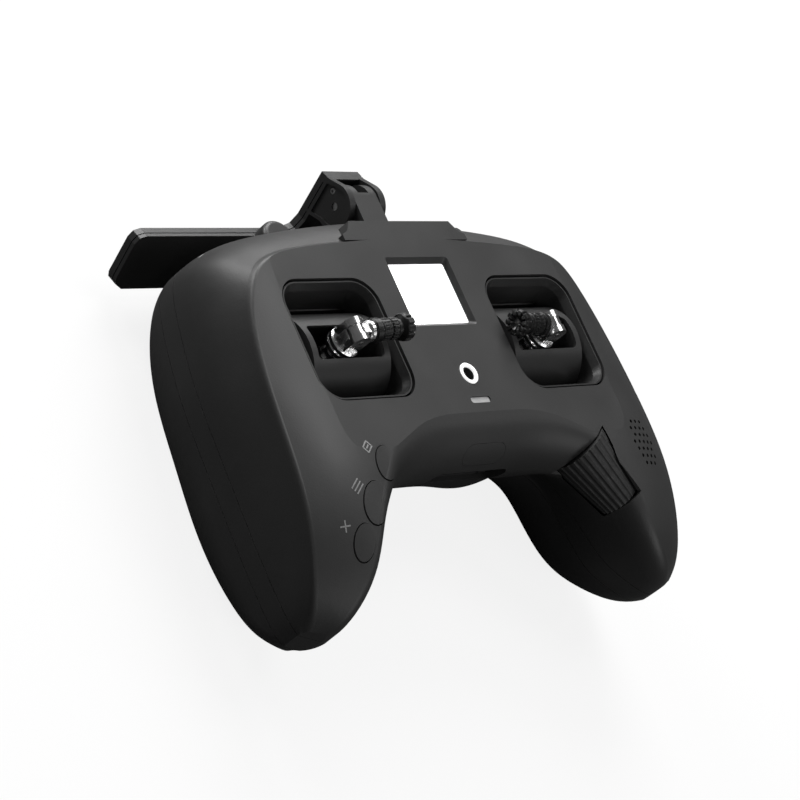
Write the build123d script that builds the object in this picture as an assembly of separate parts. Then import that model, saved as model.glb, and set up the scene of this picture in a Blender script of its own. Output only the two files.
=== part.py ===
from build123d import *
import os
from math import asin, atan2, cos, degrees, pi, sin

# Radio transmitter in a gamepad body, lying on its back. Millimetres.
# +X is to the right seen from the front, +Y points from the grips to the aerial, +Z out of the face.
# The origin is on the back rest plane, midway between the two stick centres.

# ---------------------------------------------------------------- body
DEPTH = 58.0  # back rest plane to face plane
WALL = 2.2
SEAM_FRONT = DEPTH - 29.0  # front shell meets the mid band
SEAM_REAR = SEAM_FRONT - 7.2  # mid band meets the rear shell
SEAM_GAP = 0.25
TRIM = 0.25  # the loft stands proud by this much before the flats are cut
CREASE_ROUND = 2.2
GRIP_START = -30.0  # the face starts to fall away below this Y
FRONT_FALL = 0.0059  # fall of the face, per mm squared
SIDE_START = 60.0  # the face also falls away sideways beyond this X
SIDE_FALL = 0.010
BACK_START = -28.0
BACK_RISE = 0.00012  # rise of the back, per mm cubed
RUN_POINTS = 5  # points on each long edge of a section

# One row per section, centre to grip end: arch point x, y; outer point x, y; crease inset;
# shoulder fullness; roll width; roll depth; arch lean; back radius; pinch from front and back.
STATIONS = (
    (0.0, -40.6, 0.0, 50.0, 15.0, 0.74, 16.0, 17.0, 10.0, 20.0, 0.0),
    (16.0, -40.6, 30.0, 48.8, 15.0, 0.68, 16.0, 17.0, 9.5, 20.0, 0.0),
    (28.0, -41.2, 57.0, 45.4, 14.5, 0.62, 14.0, 16.0, 9.0, 21.0, 0.0),
    (35.2, -42.6, 72.0, 40.2, 13.5, 0.52, 12.0, 15.0, 12.0, 26.0, 0.0),
    (42.0, -44.8, 79.4, 26.4, 9.5, 0.40, 10.0, 14.0, 14.0, 24.5, 0.0),
    (48.1, -49.2, 83.9, 5.0, 6.4, 0.30, 8.0, 13.0, 12.0, 23.0, 0.0),
    (54.2, -56.8, 86.0, -20.0, 4.6, 0.27, 7.0, 12.0, 5.0, 19.0, 0.0),
    (59.5, -67.0, 87.0, -43.0, 3.8, 0.30, 6.0, 11.0, 0.0, 16.0, 0.0),
    (65.2, -75.3, 87.4, -60.5, 3.2, 0.34, 5.0, 9.0, 0.0, 12.4, 0.0),
    (71.8, -81.2, 87.0, -73.0, 2.4, 0.34, 3.6, 7.0, 0.0, 7.6, 1.5),
    (77.6, -82.6, 85.4, -79.6, 1.2, 0.34, 1.8, 4.0, 0.0, 3.4, 5.5),
)

# ---------------------------------------------------------------- gimbals and sticks
GIMBAL_X = 45.5
BEZEL = 40.0
BEZEL_R = 8.0
BEZEL_GAP = 0.7
BEZEL_DEPTH = 10.8
BEZEL_SINK = 0.6
BEVEL_END = 36.4  # width of the well under the bevel
DRUM_R = 15.3
DRUM_WALL = 1.2
DRUM_HALF = 16.5
DRUM_Z = -16.1  # tilt axes, below the face
SLOT_HALF_X = 14.2
SLOT_HALF_Y = 5.7
AXLE_R = 2.0
TRUNNION_R = 1.5
STICK_BLOCK = 9.0
RUNNING = 0.05  # radial clearance of every shaft in its hole
FOLD_Z = 3.2  # fold pin, above the face
FOLD_TILT = 7.0  # the folded stick points up from the face by this angle
POST_R = 2.5
HEAD_BASE_R = 5.2  # round foot of the clevis on the post
CHEEK_IN = 1.6
CHEEK_OUT = 3.8
PIN_EYE_R = 3.3
FOLD_PIN_R = 0.8
KNUCKLE_R = 3.4
TIP_R = 4.3
TIP_TEETH = 10
STUD_R = 1.5
STUD_END = 17.6  # distances along the stick from the fold pin
STICK_END = 20.5
TUBE_SPLINES = 14
EAR_X = 23.2
EAR_Y = 14.0

# ---------------------------------------------------------------- face controls
WINDOW_Y = 15.45
WINDOW_W = 26.6
WINDOW_H = 21.5
POWER_Y = -13.9
LIGHT_Y = -23.1
BUTTON_TURN = 19.0  # long axes of the oval buttons, from Y
BUTTONS = {  # x, y, width, length, depth of the surface below the face
    "button_page": (-52.6, -41.4, 8.4, 10.8, 0.8),
    "button_menu": (-61.3, -52.7, 9.4, 12.6, 3.0),
    "button_exit": (-68.3, -63.0, 7.4, 10.4, 6.1),
}
BUTTON_GAP = 0.3
SPEAKER = (70.3, -41.2)
SPEAKER_R = 7.6
SPEAKER_Z = DEPTH - 12.4

BAY_Z = DEPTH - 20.1  # middle of the socket bay in the arch
BAY_HEIGHT = 11.6
SOCKET_Z = DEPTH - 19.2

# ---------------------------------------------------------------- thumb roller on the right grip
ROLLER_TOP = Vector(43.5, -40.4, DEPTH - 6.9)
ROLLER_END = Vector(57.0, -58.1, DEPTH - 10.4)
ROLLER_EDGE = Vector(-0.30, -0.37, -0.88)  # along the wheel's wide end, across the grip's roll
ROLLER_R_TOP = 10.0
ROLLER_R_END = 7.0
ROLLER_SINK = 4.6  # axis below the surface chord
ROLLER_RIBS = 24
FLUTE_R = 1.0
FLUTE_DEPTH = 0.38
ROLLER_AXLE_R = 1.5

# ---------------------------------------------------------------- aerial
HINGE_Y = 55.5
HINGE_Z = DEPTH - 15.0
LUG_HALF = 5.5
EAR_IN = 5.7
EAR_OUT = 8.2
LUG_R = 6.8
FORK_R = 7.4
FORK_TOP = Vector(0, 63.4, DEPTH - 12.9)
BOARD_EDGE = Vector(0, 56.2, DEPTH - 33.5)
BOARD_WIDTH = 20.7
BOARD_HALF = 76.0
BOARD_THICK = 4.0
BOARD_GROOVE = 0.4  # depth and width of the seam line round the bar's edge
PIN_R = 1.25

# ---------------------------------------------------------------- shoulder controls
ROCKER_X = 32.0
ROCKER_Y = 47.2
ROCKER_Z = DEPTH - 22.6
ROCKER_PIVOT_Y = 40.5
TRIGGER_X = 52.0
TRIGGER_Z = 14.0


# ---------------------------------------------------------------- helpers
def block(x, y, z):
    """Box from its low and high limits."""
    size = (x[1] - x[0], y[1] - y[0], z[1] - z[0])
    centre = ((x[0] + x[1]) / 2, (y[0] + y[1]) / 2, (z[0] + z[1]) / 2)
    return Pos(*centre) * Box(*size)


def rod(start, direction, radius, length):
    plane = Plane(origin=start, z_dir=direction)
    return plane * Cylinder(radius, length, align=(Align.CENTER, Align.CENTER, Align.MIN))


def cone(start, direction, r0, r1, length):
    plane = Plane(origin=start, z_dir=direction)
    return plane * Cone(r0, r1, length, align=(Align.CENTER, Align.CENTER, Align.MIN))


def rounded(x, y, w, h, r, z0, z1):
    """Upright prism with a rounded rectangular outline."""
    return Pos(x, y, z0) * extrude(RectangleRounded(w, h, r), amount=z1 - z0)


def funnel(w0, h0, r0, z0, w1, h1, r1, z1):
    """Tapered rounded rectangular plug from z0 to z1."""
    low = Pos(0, 0, z0) * RectangleRounded(w0, h0, r0)
    high = Pos(0, 0, z1) * RectangleRounded(w1, h1, r1)
    return loft([low, high])


def oval(x, y, w, h, turn, z0, z1):
    return Pos(x, y, z0) * Rot(0, 0, turn) * extrude(Ellipse(w / 2, h / 2), amount=z1 - z0)


def side_plate(points, x0, x1):
    """Plate with an outline in Y and Z, from x0 to x1."""
    face = make_face(Polyline(*[(0, y, z) for y, z in points], close=True))
    return Pos(x0, 0, 0) * extrude(face, amount=x1 - x0, dir=(1, 0, 0))


def save(name, shape):
    export_step(shape, f"parts/{name}.step")


def both_sides(name, maker):
    """A left piece in gimbal coordinates and its mirror image on the right."""
    piece = maker()
    save(f"{name}_left", Pos(-GIMBAL_X, 0, DEPTH) * piece)
    save(f"{name}_right", Pos(GIMBAL_X, 0, DEPTH) * mirror(piece, Plane.YZ))


# ---------------------------------------------------------------- body loft
def front_height(point):
    grip = FRONT_FALL * max(0.0, GRIP_START - point.Y) ** 2
    side = SIDE_FALL * max(0.0, abs(point.X) - SIDE_START) ** 2
    return DEPTH + TRIM - grip - side


def back_height(y):
    return -TRIM + BACK_RISE * max(0.0, BACK_START - y) ** 3


def section(station, skin):
    """Closed outline in an upright plane from the arch (t = 0) to the outer edge (t = length)."""
    ax, ay, ox, oy, inset, full, roll, roll_depth, lean, back_r, pinch = station
    arch, outer = Vector(ax, ay), Vector(ox, oy)
    along = (outer - arch).normalized()
    t_in, t_out = skin, (outer - arch).length - skin
    roll = max(roll - skin, 0.8)
    roll_depth = max(roll_depth - skin, 0.8)
    back_r = max(back_r - skin, 0.6)

    def place(t, z):
        return arch + along * t + Vector(0, 0, z)

    def front(t):
        return front_height(arch + along * t) - skin - pinch

    def back(t):
        return back_height((arch + along * t).Y) + skin + 0.7 * pinch

    def run(t0, t1, height):
        steps = [t0 + (t1 - t0) * k / (RUN_POINTS - 1) for k in range(RUN_POINTS)]
        return Spline(*[place(t, height(t)) for t in steps])

    def curve(*points):
        return Bezier(*[place(t, z) for t, z in points])

    roll_end = t_in + roll
    face_end = t_out - inset - 0.6 * CREASE_ROUND
    top = front(face_end)
    rise = top - SEAM_FRONT
    crease = Vector(t_out - inset + 0.3 * CREASE_ROUND, top - 0.8 * CREASE_ROUND)
    fall = Vector(full * inset, (0.37 * full - 0.42) * rise)
    soft = fall.normalized() * (0.55 * CREASE_ROUND)
    shoulder = crease + fall
    low_out = back(t_out)
    foot_out = t_out - back_r
    foot_in = t_in + lean + back_r
    low_in = back(t_in + lean)
    pull = 0.45 * back_r
    roll_low = front(roll_end) - roll_depth
    arch_low = low_in + back_r
    drop = roll_low - arch_low
    return Wire([
        run(roll_end, face_end, front),
        curve((face_end, top), (face_end + 0.55 * CREASE_ROUND, top),
              (crease.X - soft.X, crease.Y - soft.Y), (crease.X, crease.Y)),
        curve((crease.X, crease.Y), (shoulder.X, shoulder.Y),
              (t_out, SEAM_FRONT + 0.5 * rise), (t_out, SEAM_FRONT)),
        Line(place(t_out, SEAM_FRONT), place(t_out, low_out + back_r)),
        curve((t_out, low_out + back_r), (t_out, low_out + pull),
              (foot_out + pull, back(foot_out)), (foot_out, back(foot_out))),
        run(foot_out, foot_in, back),
        curve((foot_in, back(foot_in)), (foot_in - back_r + pull, back(foot_in)),
              (t_in + lean, low_in + pull), (t_in + lean, arch_low)),
        curve((t_in + lean, arch_low), (t_in + 0.8 * lean, arch_low + 0.3 * drop),
              (t_in, roll_low - 0.3 * drop), (t_in, roll_low)),
        curve((t_in, roll_low), (t_in, roll_low + 0.55 * roll_depth),
              (t_in + 0.45 * roll, front(roll_end)), (roll_end, front(roll_end))),
    ])


def body(skin=0.0):
    """Solid body, drawn in by skin; a drawn-in body also stops one section short of the grip ends."""
    right = STATIONS[:-1] if skin > 0 else STATIONS
    left = [(-s[0], s[1], -s[2], *s[3:]) for s in reversed(right[1:])]
    lofted = Solid.make_loft([section(s, skin) for s in (*left, *right)], ruled=False)
    return lofted & block((-100, 100), (-100, 100), (min(skin, 0), DEPTH - min(skin, 0)))


# ---------------------------------------------------------------- roller frame
def roller_axes():
    axis = (ROLLER_END - ROLLER_TOP).normalized()
    normal = ROLLER_EDGE.cross(axis).normalized()
    if normal.Z < 0:
        normal = normal * -1
    length = (ROLLER_END - ROLLER_TOP).length
    start = ROLLER_TOP - normal * ROLLER_SINK
    return start, axis, normal, length


def roller_pocket():
    """Clearance round the wheel, with a shallow dish beside it."""
    start, axis, normal, length = roller_axes()
    grow = 0.6
    tight = cone(start - axis * grow, axis, ROLLER_R_TOP + grow, ROLLER_R_END + grow, length + 2 * grow)
    dish_r = 20.0
    lift = normal * (ROLLER_SINK + dish_r - 1.6)
    dish = rod(start - axis * grow + lift, axis, dish_r, length + 2 * grow)
    return tight + dish


# ---------------------------------------------------------------- casing
BOSSES = ((-68.0, 20.0), (68.0, 20.0), (-73.0, -30.0), (73.0, -30.0), (-21.5, 35.0), (21.5, 35.0))
BOSS_R = 3.2
SCREW_R = 1.25
HEAD_R = 2.6
HEAD_Z = 3.6  # screw heads, sunk from the back


def case_bosses(z0, z1, bore):
    """Screw pillars from z0 to z1 with a bore."""
    pillars = [rod((x, y, z0), (0, 0, 1), BOSS_R, z1 - z0) for x, y in BOSSES]
    bores = [rod((x, y, z0 - 1), (0, 0, 1), bore, z1 - z0 + 2) for x, y in BOSSES]
    return pillars, bores


def speaker_holes():
    """Staggered grid of holes inside an oval patch."""
    pitch = 2.7
    holes = []
    for row in range(-3, 4):
        for col in range(-3, 4):
            dx = (col + 0.5 * (row % 2)) * pitch + 0.25 * row
            dy = row * pitch * 0.87
            if (dx / 6.6) ** 2 + (dy / 8.6) ** 2 < 1:
                x, y = SPEAKER[0] + dx, SPEAKER[1] + dy
                holes.append(rod((x, y, DEPTH - 12), (0, 0, 1), 0.65, 13))
    return holes


def port_bay():
    return Pos(0, -41.5, BAY_Z) * Rot(90, 0, 0) * extrude(
        RectangleRounded(34, BAY_HEIGHT, 3.0), amount=6, both=True)


def front_openings():
    cuts = []
    opening = BEZEL + 2 * BEZEL_GAP
    for side in (-1, 1):
        cuts.append(rounded(side * GIMBAL_X, 0, opening, opening, BEZEL_R + BEZEL_GAP, DEPTH - 12, DEPTH + 1))
        cuts.append(rocker_slot(side))
    cuts.append(Pos(0, WINDOW_Y, 0) * funnel(
        WINDOW_W, WINDOW_H, 0.8, DEPTH - 1.7, WINDOW_W + 2.4, WINDOW_H + 3.4, 1.2, DEPTH + 0.2))
    cuts.append(rounded(0, WINDOW_Y, WINDOW_W, WINDOW_H, 0.8, DEPTH - 4, DEPTH))
    cuts.append(rod((0, POWER_Y, DEPTH - 6), (0, 0, 1), 3.7, 8))
    cuts.append(rounded(0, LIGHT_Y, 9.1, 2.2, 1.0, DEPTH - 6, DEPTH + 1))
    for x, y, w, h, _ in BUTTONS.values():
        cuts.append(oval(x, y, w + 2 * BUTTON_GAP, h + 2 * BUTTON_GAP, -BUTTON_TURN, DEPTH - 14, DEPTH + 1))
    cuts.append(roller_pocket())
    cuts.append(port_bay())
    cuts.append(aux_cover(0.12))
    cuts.append(lug_socket())
    cuts += [rod((x0, HINGE_Y, HINGE_Z), (1, 0, 0), FORK_R + 0.6, 3.5) for x0 in (-8.9, 5.4)]
    return cuts


def lug_socket():
    return block((-LUG_HALF - 0.1, LUG_HALF + 0.1), (44.0, 53.0), (HINGE_Z - 7.1, HINGE_Z + 7.1))


def rocker_slot(side):
    return block((side * ROCKER_X - 7.0, side * ROCKER_X + 7.0), (43.0, 56.0), (ROCKER_Z - 5.2, ROCKER_Z + 5.2))


def aux_cover(grow=0.0):
    """Oval bung on the lower roll of the face, under the status light."""
    plane = Plane(origin=(0, -37.4, DEPTH - 8.2), x_dir=(1, 0, 0), z_dir=(0, -0.86, 0.51))
    return plane * extrude(SlotOverall(19 + 2 * grow, 7.6 + 2 * grow), amount=6, both=True)


def make_casing():
    outer = body()
    hollow = body(WALL)
    skin = outer - hollow
    upper = skin & block((-100, 100), (-100, 100), (SEAM_FRONT + SEAM_GAP / 2, DEPTH + 5))
    tab = make_face(Polyline((-28.2, 34.0), (-28.2, 36.0), (-25.4, 37.4), (-23.0, 40.8),
                             (23.0, 40.8), (25.4, 37.4), (28.2, 36.0), (28.2, 34.0), close=True))
    upper += Pos(0, 0, DEPTH - 9) * extrude(tab, amount=9)
    pillars, bores = case_bosses(SEAM_FRONT + 2, DEPTH - 1.9, SCREW_R + 0.05)
    lower_hollow = block((-100, 100), (-100, 100), (0, DEPTH - 5))
    upper += [p & (outer & block((-100, 100), (-100, 100), (SEAM_FRONT, DEPTH - 1.0))) for p in pillars]
    upper -= [b & lower_hollow for b in bores]
    ears = [(side * (GIMBAL_X + ex), ey) for side in (-1, 1) for ex in (-EAR_X, EAR_X) for ey in (-EAR_Y, EAR_Y)]
    upper += [rod((x, y, DEPTH - 10.9), (0, 0, 1), 2.4, 9.5) for x, y in ears]
    upper -= [rod((x, y, DEPTH - 11.5), (0, 0, 1), 1.05, 7) for x, y in ears]
    for cut in front_openings():
        upper -= cut
    upper -= speaker_holes()
    save("front_shell", upper)

    band = skin & block((-100, 100), (-100, 100), (SEAM_REAR + SEAM_GAP / 2, SEAM_FRONT - SEAM_GAP / 2))
    save("mid_band", band)

    lower = skin & block((-100, 100), (-100, 100), (-1, SEAM_REAR - SEAM_GAP / 2))
    pillars, bores = case_bosses(1.0, SEAM_FRONT + 1.8, SCREW_R + 0.15)
    inside = outer & block((-100, 100), (-100, 100), (0.5, SEAM_FRONT + 1.8))
    lower += [p & inside for p in pillars]
    lower -= bores
    lower -= [rod((x, y, -1), (0, 0, 1), HEAD_R + 0.3, HEAD_Z + 2.4 + 1.0) for x, y in BOSSES]
    for side in (-1, 1):
        lower -= rod((side * TRIGGER_X, 30, TRIGGER_Z), (0, 1, 0), 4.3, 25)
    save("rear_shell", lower)

    screws = [rod((x, y, HEAD_Z), (0, 0, 1), HEAD_R, 2.4) - Pos(x, y, HEAD_Z) * Box(0.8, 3.4, 1.6)
              for x, y in BOSSES]
    shanks = [rod((x, y, HEAD_Z + 2.4), (0, 0, 1), SCREW_R, SEAM_FRONT + 12.0) for x, y in BOSSES]
    save("case_screws", Compound([h + s for h, s in zip(screws, shanks)]))
    make_buttons()
    save("aux_cover", aux_cover() & outer & block((-20, 20), (-60, -33.5), (0, DEPTH)) - body(WALL + 0.8))


def make_buttons():
    """Oval keys that carry on the curve of the grip."""
    proud = body(-0.3)
    for name, (x, y, w, h, depth) in BUTTONS.items():
        save(name, oval(x, y, w, h, -BUTTON_TURN, DEPTH - 11.5, DEPTH + 1) & proud)


# ---------------------------------------------------------------- gimbals
def make_bezel():
    """Liner of the stick opening, sunk a little under the face, with a wide bevel round its mouth."""
    outer = rounded(0, 0, BEZEL, BEZEL, BEZEL_R, -BEZEL_DEPTH, -BEZEL_SINK)
    well = funnel(34.6, 32.8, 3.5, -BEZEL_DEPTH - 0.1, BEVEL_END, BEVEL_END, 5.6, -3.2)
    mouth = funnel(BEVEL_END, BEVEL_END, 5.6, -3.2, BEZEL - 0.9, BEZEL - 0.9, BEZEL_R - 0.4, -BEZEL_SINK + 0.1)
    return outer - well - mouth


def make_frame():
    frame = rounded(0, 0, 38.8, 38.8, 6.0, -27.0, -11.0)
    frame -= rounded(0, 0, 34.2, 31.8, 0.5, -28.0, -10.0)
    ears = [block(sorted((sx * 18.0, sx * EAR_X)), (sy * EAR_Y - 2.4, sy * EAR_Y + 2.4), (-14.0, -11.0))
            for sx in (-1, 1) for sy in (-1, 1)]
    ears += [rod((sx * EAR_X, sy * EAR_Y, -14.0), (0, 0, 1), 2.4, 3.0) for sx in (-1, 1) for sy in (-1, 1)]
    frame += ears
    frame -= [rod((sx * EAR_X, sy * EAR_Y, -15.0), (0, 0, 1), 1.15, 5.0) for sx in (-1, 1) for sy in (-1, 1)]
    frame -= rod((-25, 0, DRUM_Z), (1, 0, 0), AXLE_R + RUNNING, 50)
    return frame


def make_drum():
    axis_start = (-DRUM_HALF, 0, DRUM_Z)
    drum = rod(axis_start, (1, 0, 0), DRUM_R, 2 * DRUM_HALF)
    drum -= rod((-DRUM_HALF + 1.3, 0, DRUM_Z), (1, 0, 0), DRUM_R - DRUM_WALL, 2 * DRUM_HALF - 2.6)
    drum -= rounded(0, 0, 2 * SLOT_HALF_X, 2 * SLOT_HALF_Y, 1.5, DRUM_Z, 0)
    drum += [rod((0, sy * 12.0, DRUM_Z), (0, sy, 0), 3.2, 2.6) for sy in (-1, 1)]
    drum -= rod((0, -20, DRUM_Z), (0, 1, 0), TRUNNION_R + RUNNING, 40)
    drum -= block((-20, 20), (-9.5, 9.5), (DRUM_Z - 20, DRUM_Z - 8))
    stubs = rod((-DRUM_HALF - 2.7, 0, DRUM_Z), (1, 0, 0), AXLE_R, 2.8)
    return drum + stubs + mirror(stubs, Plane.YZ)


def make_stick_block():
    core = Pos(0, 0, DRUM_Z) * fillet(Box(STICK_BLOCK, 8, STICK_BLOCK).edges().filter_by(Axis.Y), 1.2)
    trunnion = rod((0, -15.0, DRUM_Z), (0, 1, 0), TRUNNION_R, 30.0)
    return core + trunnion


def make_post():
    """Bright pillar that ends in a round foot and a two-cheeked clevis for the fold pin."""
    foot_of_post = DRUM_Z + STICK_BLOCK / 2
    post = rod((0, 0, foot_of_post), (0, 0, 1), POST_R, -3.0 - foot_of_post)
    post += rod((0, 0, foot_of_post), (0, 0, 1), POST_R + 0.9, 1.6)
    post += cone((0, 0, -7.5), (0, 0, 1), POST_R + 0.4, HEAD_BASE_R - 0.5, 2.0)
    foot = rod((0, 0, -5.5), (0, 0, 1), HEAD_BASE_R, 4.0)
    foot = chamfer(foot.edges().filter_by(GeomType.CIRCLE), 0.5)
    groove = rod((0, 0, -3.9), (0, 0, 1), HEAD_BASE_R + 1, 0.7)
    groove -= rod((0, 0, -3.9), (0, 0, 1), HEAD_BASE_R - 0.5, 0.7)
    post += foot - groove
    for side in (-1, 1):
        y0, y1 = sorted((side * CHEEK_IN, side * CHEEK_OUT))
        cheek = block((-PIN_EYE_R, PIN_EYE_R), (y0, y1), (-1.6, FOLD_Z))
        cheek += rod((0, y0, FOLD_Z), (0, 1, 0), PIN_EYE_R, y1 - y0)
        post += cheek
    return post - rod((0, -5, FOLD_Z), (0, 1, 0), FOLD_PIN_R + RUNNING, 10)


def lie(shape):
    """Turns a stick piece made along X to the angle of the folded stick."""
    return Pos(0, 0, FOLD_Z) * Rot(0, -FOLD_TILT, 0) * Pos(0, 0, -FOLD_Z) * shape


def stick_rod(s0, s1, radius):
    """Round length of the stick, between distances s0 and s1 from the fold pin."""
    return rod((s0, 0, FOLD_Z), (1, 0, 0), radius, s1 - s0)


def make_knuckle():
    """Bright barrel with a tongue between the cheeks of the clevis."""
    reach = CHEEK_IN - 0.1
    tongue = rod((0, -reach, FOLD_Z), (0, 1, 0), PIN_EYE_R - 0.4, 2 * reach)
    tongue += block((0, 4.2), (-reach, reach), (FOLD_Z - 2.6, FOLD_Z + 2.6))
    barrel = stick_rod(3.7, 5.6, KNUCKLE_R)
    barrel = chamfer(barrel.edges().filter_by(GeomType.CIRCLE), 0.4)
    knuckle = tongue + barrel + stick_rod(5.4, STUD_END, STUD_R)
    return lie(knuckle - rod((0, -5, FOLD_Z), (0, 1, 0), FOLD_PIN_R, 10))


def make_fold_pin():
    return rod((0, -CHEEK_OUT - 0.2, FOLD_Z), (0, 1, 0), FOLD_PIN_R, 2 * CHEEK_OUT + 0.4)


def make_collar():
    ring = stick_rod(5.7, 8.2, 3.85)
    ring = chamfer(ring.edges(), 0.35)
    return lie(ring - stick_rod(5, 9, STUD_R))


def make_grip_tube():
    """Splined tube that screws along the stud."""
    tube = stick_rod(8.3, 14.8, 3.45)
    for k in range(TUBE_SPLINES):
        a = 2 * pi * k / TUBE_SPLINES
        tube -= rod((9.4, 3.55 * cos(a), FOLD_Z + 3.55 * sin(a)), (1, 0, 0), 0.45, 6)
    tube -= stick_rod(12.2, 12.8, 5) - stick_rod(12.0, 13.0, 3.05)
    return lie(tube - stick_rod(8, 16, STUD_R))


def make_tip():
    """Toothed thumb tip."""
    tip = cone((14.9, 0, FOLD_Z), (1, 0, 0), 3.3, TIP_R, 2.6) + stick_rod(17.5, STICK_END, TIP_R)
    tip -= cone((STICK_END - 1.6, 0, FOLD_Z), (1, 0, 0), 1.0, 2.8, 2.0)
    for k in range(TIP_TEETH):
        notch = Pos(STICK_END - 1.2, 0, 3.7) * Rot(45, 0, 0) * Box(4.0, 1.5, 1.5)
        tip -= Pos(0, 0, FOLD_Z) * Rot(360 * k / TIP_TEETH, 0, 0) * notch
    return lie(tip - stick_rod(14, STUD_END + 0.2, STUD_R))


def make_sensor():
    """Angle sensor on the outer end of the drum's axle."""
    can = rod((-22.0, 0, DRUM_Z), (1, 0, 0), 4.6, 2.5)
    return can + block((-21.0, -19.5), (-6.5, 6.5), (DRUM_Z - 6.5, DRUM_Z + 2.0))


def gimbal_screws():
    screws = []
    for side in (-1, 1):
        for sx in (-1, 1):
            for sy in (-1, 1):
                x, y = side * GIMBAL_X + sx * EAR_X, sy * EAR_Y
                head = rod((x, y, DEPTH - 15.6), (0, 0, 1), 1.9, 1.6)
                screws.append(head + rod((x, y, DEPTH - 14.0), (0, 0, 1), 1.0, 8.5))
    return Compound(screws)


def make_gimbals():
    makers = {
        "gimbal_bezel": make_bezel, "gimbal_frame": make_frame, "gimbal_drum": make_drum,
        "stick_block": make_stick_block, "stick_post": make_post, "stick_knuckle": make_knuckle,
        "fold_pin": make_fold_pin, "lock_collar": make_collar, "stick_tube": make_grip_tube,
        "stick_tip": make_tip,
    }
    for name, maker in makers.items():
        both_sides(name, maker)
    save("gimbal_screws", gimbal_screws())
    sensor = make_sensor()
    right = mirror(sensor, Plane.YZ)
    save("gimbal_sensors", Compound([Pos(-GIMBAL_X, 0, DEPTH) * sensor, Pos(GIMBAL_X, 0, DEPTH) * right]))


# ---------------------------------------------------------------- display, power button, light
def make_display():
    save("display_window", block((-16, 16), (1.5, 29.5), (DEPTH - 2.85, DEPTH - 2.05)))
    save("display_panel", rounded(0, WINDOW_Y, 33, 29, 1.0, DEPTH - 5.4, DEPTH - 2.95))


def make_power():
    ring = rod((0, POWER_Y, DEPTH - 2.4), (0, 0, 1), 3.6, 2.8) - rod((0, POWER_Y, DEPTH - 3), (0, 0, 1), 2.45, 5)
    save("power_ring", chamfer(ring.edges().group_by(Axis.Z)[-1], 0.3))
    button = rod((0, POWER_Y, DEPTH - 4.0), (0, 0, 1), 2.4, 3.8)
    save("power_button", fillet(button.edges().group_by(Axis.Z)[-1], 0.5))
    save("status_light", rounded(0, LIGHT_Y, 8.9, 2.0, 0.9, DEPTH - 2.6, DEPTH - 0.4))


def tact_switch(x, y, top, height):
    """Small square switch with a round plunger, standing on its board."""
    base = block((x - 2.8, x + 2.8), (y - 2.8, y + 2.8), (top - height, top - 0.8))
    return base + rod((x, y, top - 1.0), (0, 0, 1), 1.5, 1.0)


def make_boards():
    board = rounded(0, 0, 36, 64, 2.0, DEPTH - 13.6, DEPTH - 12.0)
    save("main_board", board)
    save("radio_module", block((-12, 12), (12, 30), (DEPTH - 17.4, DEPTH - 13.7)))
    page, exit_key = BUTTONS["button_page"], BUTTONS["button_exit"]
    mid = ((page[0] + exit_key[0]) / 2, (page[1] + exit_key[1]) / 2)
    turn = degrees(atan2(page[1] - exit_key[1], page[0] - exit_key[0]))
    key_board = Pos(mid[0], mid[1], DEPTH - 17.4) * Rot(0, 0, turn) * extrude(
        RectangleRounded(36, 10, 2), amount=1.2)
    save("key_board", key_board)
    switches = [tact_switch(0, POWER_Y, DEPTH - 4.9, 7.0)]
    switches += [tact_switch(x, y, DEPTH - 12.4, 3.7) for x, y, *_ in BUTTONS.values()]
    save("tact_switches", Compound(switches))


# ---------------------------------------------------------------- roller
def make_roller():
    start, axis, normal, length = roller_axes()
    wheel = cone(start, axis, ROLLER_R_TOP, ROLLER_R_END, length)
    slope = asin((ROLLER_R_TOP - ROLLER_R_END) / length)
    plane = Plane(origin=start, z_dir=axis)
    for k in range(ROLLER_RIBS):
        a = 2 * pi * k / ROLLER_RIBS
        out = plane.x_dir * cos(a) + plane.y_dir * sin(a)
        groove_dir = axis * cos(slope) - out * sin(slope)
        foot = start - groove_dir + out * (ROLLER_R_TOP + FLUTE_R - FLUTE_DEPTH)
        wheel -= rod(foot, groove_dir, FLUTE_R, length + 3)
    wheel -= rod(start - axis, axis, ROLLER_AXLE_R, length + 2)
    save("roller_wheel", wheel)
    reach = 4.2
    save("roller_axle", rod(start - axis * reach, axis, ROLLER_AXLE_R, length + 2 * reach))
    save("roller_bracket", roller_bracket(start, axis, normal, length))


def roller_bracket(start, axis, normal, length):
    """Fork that carries both ends of the axle."""
    frame = Plane(origin=start, x_dir=axis, z_dir=normal)
    legs = [frame * (Pos(x, 0, -5.5) * Box(2.2, 6, 17)) for x in (-2.4, length + 2.4)]
    base = frame * (Pos(length / 2, 0, -13.2) * Box(length + 7.0, 8, 1.8))
    bracket = base + legs[0] + legs[1]
    keep = body(WALL + 0.6)
    return (bracket & keep) - rod(start - axis * 10, axis, ROLLER_AXLE_R + RUNNING, length + 20)


# ---------------------------------------------------------------- power and sound
def make_inside():
    save("battery_pack", fillet(block((-32, 32), (-11, 19), (5.0, 22.0)).edges().filter_by(Axis.X), 6.0))
    x, y = SPEAKER
    rim = rod((x, y, SPEAKER_Z), (0, 0, 1), SPEAKER_R, 4.2)
    save("speaker", rim + rod((x, y, SPEAKER_Z - 1.1), (0, 0, 1), 5.0, 1.2))


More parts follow.
